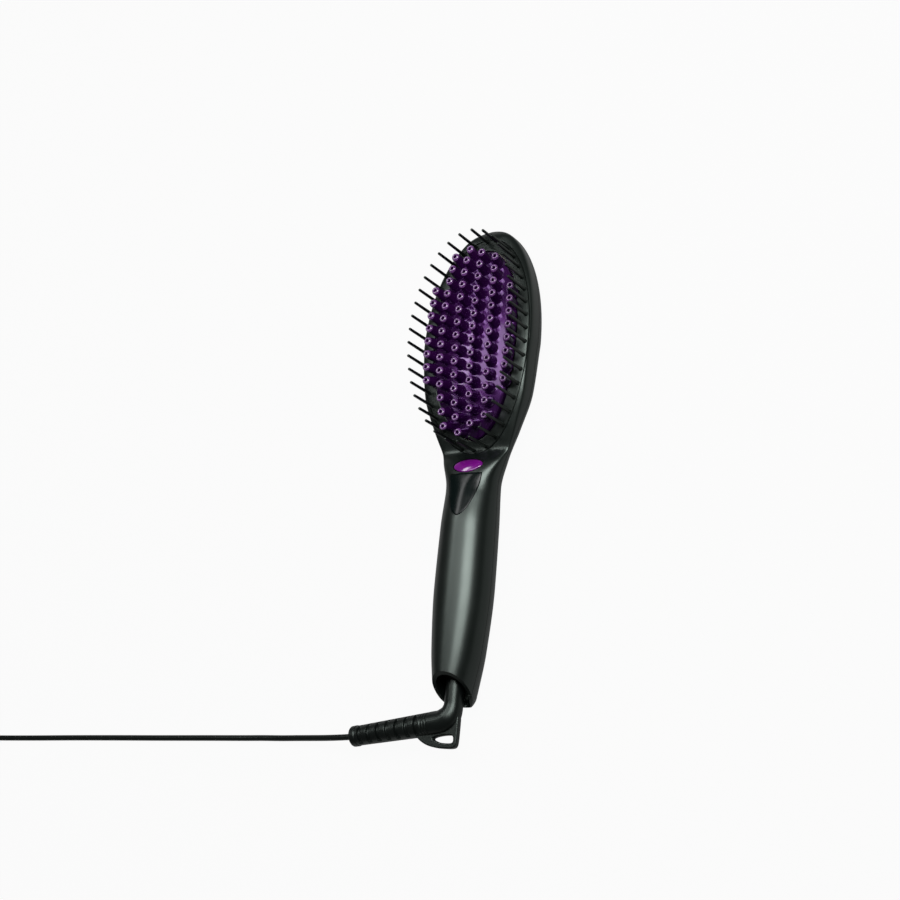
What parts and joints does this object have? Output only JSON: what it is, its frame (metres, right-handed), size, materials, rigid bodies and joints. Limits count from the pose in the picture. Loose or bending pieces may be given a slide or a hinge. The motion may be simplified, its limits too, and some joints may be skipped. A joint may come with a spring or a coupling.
{
  "type": "hair straightening brush",
  "caption": "Electric straightening brush with an oval domed plate of heated studs, a ring of guard pins, a power key on the neck and a swivelling cord.",
  "frame": {"origin": "under the middle of the housing, at the height of the two flats that it lies on", "axes": "+Z away from the surface, along the studs and pins; +Y to the tip of the head; +X to the right of the head seen from the studs with the tip up"},
  "size_m": [0.4825, 0.3196, 0.0495],
  "materials": {
    "housing": "satin black moulded plastic with a slight green tint",
    "guard": "satin black heat-resistant plastic",
    "plate": "glossy purple coating on cast aluminium",
    "button": "glossy magenta plastic",
    "inlay": "glossy dark window",
    "rubber": "black soft cord rubber",
    "inner": "heat-resistant plastic, natural colour",
    "inner_black": "black engineering plastic",
    "board": "green circuit board",
    "steel": "zinc-plated steel",
    "brass": "bare brass and copper",
    "ceramic": "white ceramic",
    "film": "amber insulating film",
    "light": "clear light with a diffuse face"
  },
  "bodies": {
    "casing": {"rear_shell": "housing", "front_shell": "housing", "guard_ring_1": "guard", "guard_ring_2": "guard", "guard_ring_3": "guard", "guard_ring_4": "guard", "guard_ring_5": "guard", "guard_ring_6": "guard", "heater_plate": "plate", "heat_shield": "inner", "inlay_panel": "inlay", "element_insulation": "film", "heating_element": "ceramic", "pressure_plate": "steel", "pack_screw_1": "steel", "pack_screw_2": "steel", "thermistor": "inner_black", "thermal_fuse": "steel", "head_screw_1": "steel", "head_screw_2": "steel", "head_screw_3": "steel", "head_screw_4": "steel", "handle_screw_1": "steel", "handle_screw_2": "steel", "control_board": "board", "relay": "inner_black", "film_capacitor": "film", "transformer": "brass", "regulator": "inner_black", "key_board": "board", "tact_switch": "inner_black", "return_spring": "steel", "status_light": "light", "end_cap": "inner_black", "swivel_bush": "inner_black", "contact_plate": "brass", "mains_lead_a": "rubber", "mains_lead_b": "rubber", "heater_lead_a": "rubber", "heater_lead_b": "rubber"},
    "key": {"power_button": "button"},
    "cord_swivel": {"swivel_core": "inner_black", "slip_ring_a": "brass", "slip_ring_b": "brass", "strain_relief": "rubber", "cord_lead": "rubber", "cord_coil": "rubber", "cord_tie": "rubber", "plug_body": "rubber", "plug_pin_a": "steel", "plug_pin_b": "steel"}
  },
  "joints": [
    {"name": "key_press", "type": "slide", "parent": "casing", "child": "key", "axis": [0, 0, -1], "range_m": [0, 0.0012], "stiffness_N_per_m": 800, "springref_m": -0.001},
    {"name": "cord_turn", "type": "hinge", "parent": "casing", "child": "cord_swivel", "pos_m": [0, -0.1268, 0.016], "axis": [0, 1, 0], "continuous": true}
  ]
}
